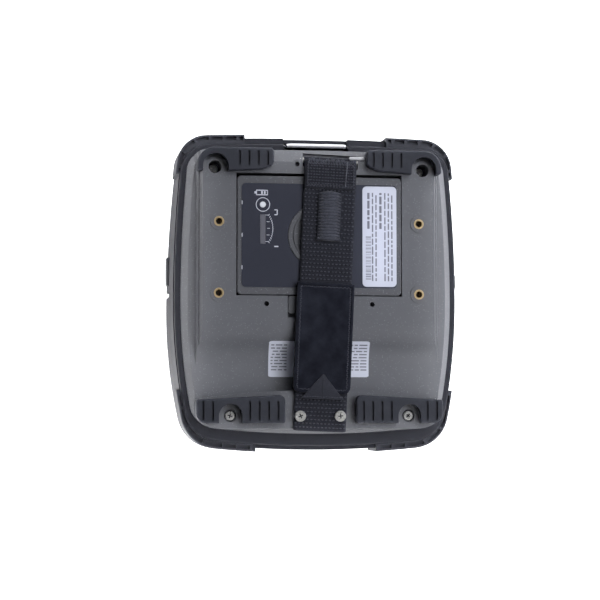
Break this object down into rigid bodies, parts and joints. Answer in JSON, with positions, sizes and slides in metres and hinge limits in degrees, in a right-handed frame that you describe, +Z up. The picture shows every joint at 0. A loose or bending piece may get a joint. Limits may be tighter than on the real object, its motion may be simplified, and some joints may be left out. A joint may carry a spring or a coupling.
{
  "type": "label maker",
  "caption": "Rugged hand-held thermal label maker: hinged roll-bay lid, platen drive, control panel, battery pack with latch, hand strap, bumpers and carrying bail.",
  "frame": {"origin": "centre of the footprint on the surface that the rubber feet stand on", "axes": "+Z up from the feet to the lid; +Y towards the end with the carrying bail; the lid hinges at the -Y end; +X completes the right-handed frame"},
  "size_m": [0.1831, 0.1977, 0.0822],
  "materials": {
    "cover_grey": "satin moulded plastic, fine texture",
    "case_black": "satin moulded plastic",
    "lid_black": "satin moulded plastic",
    "bumper_rubber": "moulded rubber",
    "foot_rubber": "ribbed rubber",
    "screw_steel": "zinc-plated",
    "insert_brass": "knurled insert, worn",
    "webbing": "woven nylon",
    "velvet": "hook-and-loop pile",
    "elastic": "ribbed webbing",
    "battery_grey": "satin",
    "overlay_film": "printed film",
    "cell_wrap": "shrink wrap",
    "board_green": "solder mask",
    "button_white": "moulded",
    "gauge_light": "diffuser",
    "contact_gold": "plated",
    "latch_plastic": "satin",
    "spring_steel": "wire",
    "label_paper": "printed stock",
    "lens_glass": "hard-coated lens",
    "module_black": "moulded",
    "key_rubber": "soft-touch",
    "flap_rubber": "moulded",
    "release_plastic": "satin",
    "port_metal": "plated shells",
    "bail_chrome": "polished wire",
    "tub_plastic": "moulded",
    "guide_plastic": "moulded acetal",
    "gear_plastic": "acetal",
    "core_card": "spiral board",
    "pinion_brass": "turned",
    "platen_rubber": "ground rubber",
    "shaft_steel": "ground",
    "bush_plastic": "acetal",
    "head_ceramic": "glazed substrate",
    "sink_aluminium": "extruded",
    "tear_steel": "stamped",
    "frame_steel": "zinc-plated sheet",
    "motor_can": "plated can",
    "window_clear": "clear polycarbonate"
  },
  "bodies": {
    "main_body": {"battery_case": "battery_grey", "battery_cells": "cell_wrap", "battery_contacts": "contact_gold", "battery_overlay": "overlay_film", "bumper_far": "bumper_rubber", "bumper_near": "bumper_rubber", "case_screws": "screw_steel", "display_lens": "lens_glass", "display_module": "module_black", "drive_motor": "motor_can", "front_case": "case_black", "gap_sensor": "module_black", "gauge_board": "board_green", "gauge_window": "gauge_light", "head_heatsink": "sink_aluminium", "head_springs": "spring_steel", "hinge_pin": "shaft_steel", "keypad_mat": "key_rubber", "latch_springs": "spring_steel", "lid_spring": "spring_steel", "main_board": "board_green", "mechanism_frame": "frame_steel", "media_tub": "tub_plastic", "ports": "port_metal", "print_head": "head_ceramic", "rear_cover": "cover_grey", "release_spring": "spring_steel", "rubber_feet": "foot_rubber", "strap_bar": "screw_steel", "strap_keeper": "elastic", "strap_pad": "velvet", "strap_screws": "screw_steel", "strap_webbing": "webbing", "tear_bar": "tear_steel", "threaded_inserts": "insert_brass", "type_label": "label_paper"},
    "lid": {"media_lid": "lid_black", "lid_window": "window_clear", "platen_bushes": "bush_plastic"},
    "platen": {"platen_roller": "platen_rubber", "platen_shaft": "shaft_steel", "platen_gear": "gear_plastic"},
    "idler": {"idler_gear": "gear_plastic"},
    "motor_rotor": {"motor_pinion": "pinion_brass"},
    "roll": {"label_roll": "label_paper", "roll_core": "core_card"},
    "guide_r": {"guide_right": "guide_plastic"},
    "guide_l": {"guide_left": "guide_plastic"},
    "guide_wheel": {"guide_pinion": "gear_plastic"},
    "gauge_key": {"gauge_button": "button_white"},
    "pack_latch": {"battery_latch": "latch_plastic"},
    "release": {"release_button": "release_plastic"},
    "port_flap": {"port_cover": "flap_rubber"},
    "bail": {"carry_bail": "bail_chrome"},
    "btn_power": {"key_power": "key_rubber"},
    "btn_feed": {"key_feed": "key_rubber"},
    "btn_left": {"key_left": "key_rubber"},
    "btn_ok": {"key_ok": "key_rubber"},
    "btn_right": {"key_right": "key_rubber"},
    "btn_menu": {"key_menu": "key_rubber"}
  },
  "joints": [
    {"name": "lid_hinge", "type": "hinge", "parent": "main_body", "child": "lid", "pos_m": [0, -0.0906, 0.06], "axis": [1, 0, 0], "range_deg": [0, 90]},
    {"name": "platen_spin", "type": "hinge", "parent": "lid", "child": "platen", "pos_m": [0, -0.0062, 0.068], "axis": [1, 0, 0], "continuous": true},
    {"name": "idler_spin", "type": "hinge", "parent": "main_body", "child": "idler", "pos_m": [0.0725, -0.00398, 0.0441], "axis": [1, 0, 0], "continuous": true},
    {"name": "motor_spin", "type": "hinge", "parent": "main_body", "child": "motor_rotor", "pos_m": [0.0725, 0.0167, 0.04775], "axis": [1, 0, 0], "continuous": true},
    {"name": "roll_spin", "type": "hinge", "parent": "main_body", "child": "roll", "pos_m": [0, -0.048, 0.0485], "axis": [1, 0, 0], "continuous": true},
    {"name": "guide_right_slide", "type": "slide", "parent": "main_body", "child": "guide_r", "axis": [1, 0, 0], "range_m": [0, 0.013], "stiffness_N_per_m": 60, "springref_m": -0.01},
    {"name": "guide_left_slide", "type": "slide", "parent": "main_body", "child": "guide_l", "axis": [-1, 0, 0], "range_m": [0, 0.013]},
    {"name": "guide_wheel_turn", "type": "hinge", "parent": "main_body", "child": "guide_wheel", "pos_m": [0, -0.015, 0.0219], "axis": [0, 0, 1], "range_deg": [-187, 0]},
    {"name": "gauge_button_press", "type": "slide", "parent": "main_body", "child": "gauge_key", "axis": [0, 0, 1], "range_m": [0, 0.0006], "stiffness_N_per_m": 700},
    {"name": "battery_latch_slide", "type": "slide", "parent": "main_body", "child": "pack_latch", "axis": [0, -1, 0], "range_m": [0, 0.002], "stiffness_N_per_m": 700, "deforming": ["latch_springs"]},
    {"name": "lid_release_press", "type": "slide", "parent": "main_body", "child": "release", "axis": [-1, 0, 0], "range_m": [0, 0.0025], "stiffness_N_per_m": 700, "deforming": ["release_spring"]},
    {"name": "port_cover_hinge", "type": "hinge", "parent": "main_body", "child": "port_flap", "pos_m": [-0.0874, 0.0703, 0.0385], "axis": [0, 0, -1], "range_deg": [0, 110]},
    {"name": "bail_swing", "type": "hinge", "parent": "main_body", "child": "bail", "pos_m": [0, 0.0926, 0.024], "axis": [1, 0, 0], "range_deg": [0, 85]},
    {"name": "power_key_press", "type": "slide", "parent": "main_body", "child": "btn_power", "axis": [0, -0.1219, -0.9925], "range_m": [0, 0.0008], "stiffness_N_per_m": 800},
    {"name": "feed_key_press", "type": "slide", "parent": "main_body", "child": "btn_feed", "axis": [0, -0.1219, -0.9925], "range_m": [0, 0.0008], "stiffness_N_per_m": 800},
    {"name": "left_key_press", "type": "slide", "parent": "main_body", "child": "btn_left", "axis": [0, -0.1219, -0.9925], "range_m": [0, 0.0008], "stiffness_N_per_m": 800},
    {"name": "ok_key_press", "type": "slide", "parent": "main_body", "child": "btn_ok", "axis": [0, -0.1219, -0.9925], "range_m": [0, 0.0008], "stiffness_N_per_m": 800},
    {"name": "right_key_press", "type": "slide", "parent": "main_body", "child": "btn_right", "axis": [0, -0.1219, -0.9925], "range_m": [0, 0.0008], "stiffness_N_per_m": 800},
    {"name": "menu_key_press", "type": "slide", "parent": "main_body", "child": "btn_menu", "axis": [0, -0.1219, -0.9925], "range_m": [0, 0.0008], "stiffness_N_per_m": 800}
  ],
  "couplings": [
    {"joint": "idler_spin", "follows": "platen_spin", "ratio": -0.6},
    {"joint": "motor_spin", "follows": "platen_spin", "ratio": 1.5},
    {"joint": "guide_left_slide", "follows": "guide_right_slide", "ratio": 1},
    {"joint": "guide_wheel_turn", "follows": "guide_right_slide", "rad_per_m": -250}
  ]
}
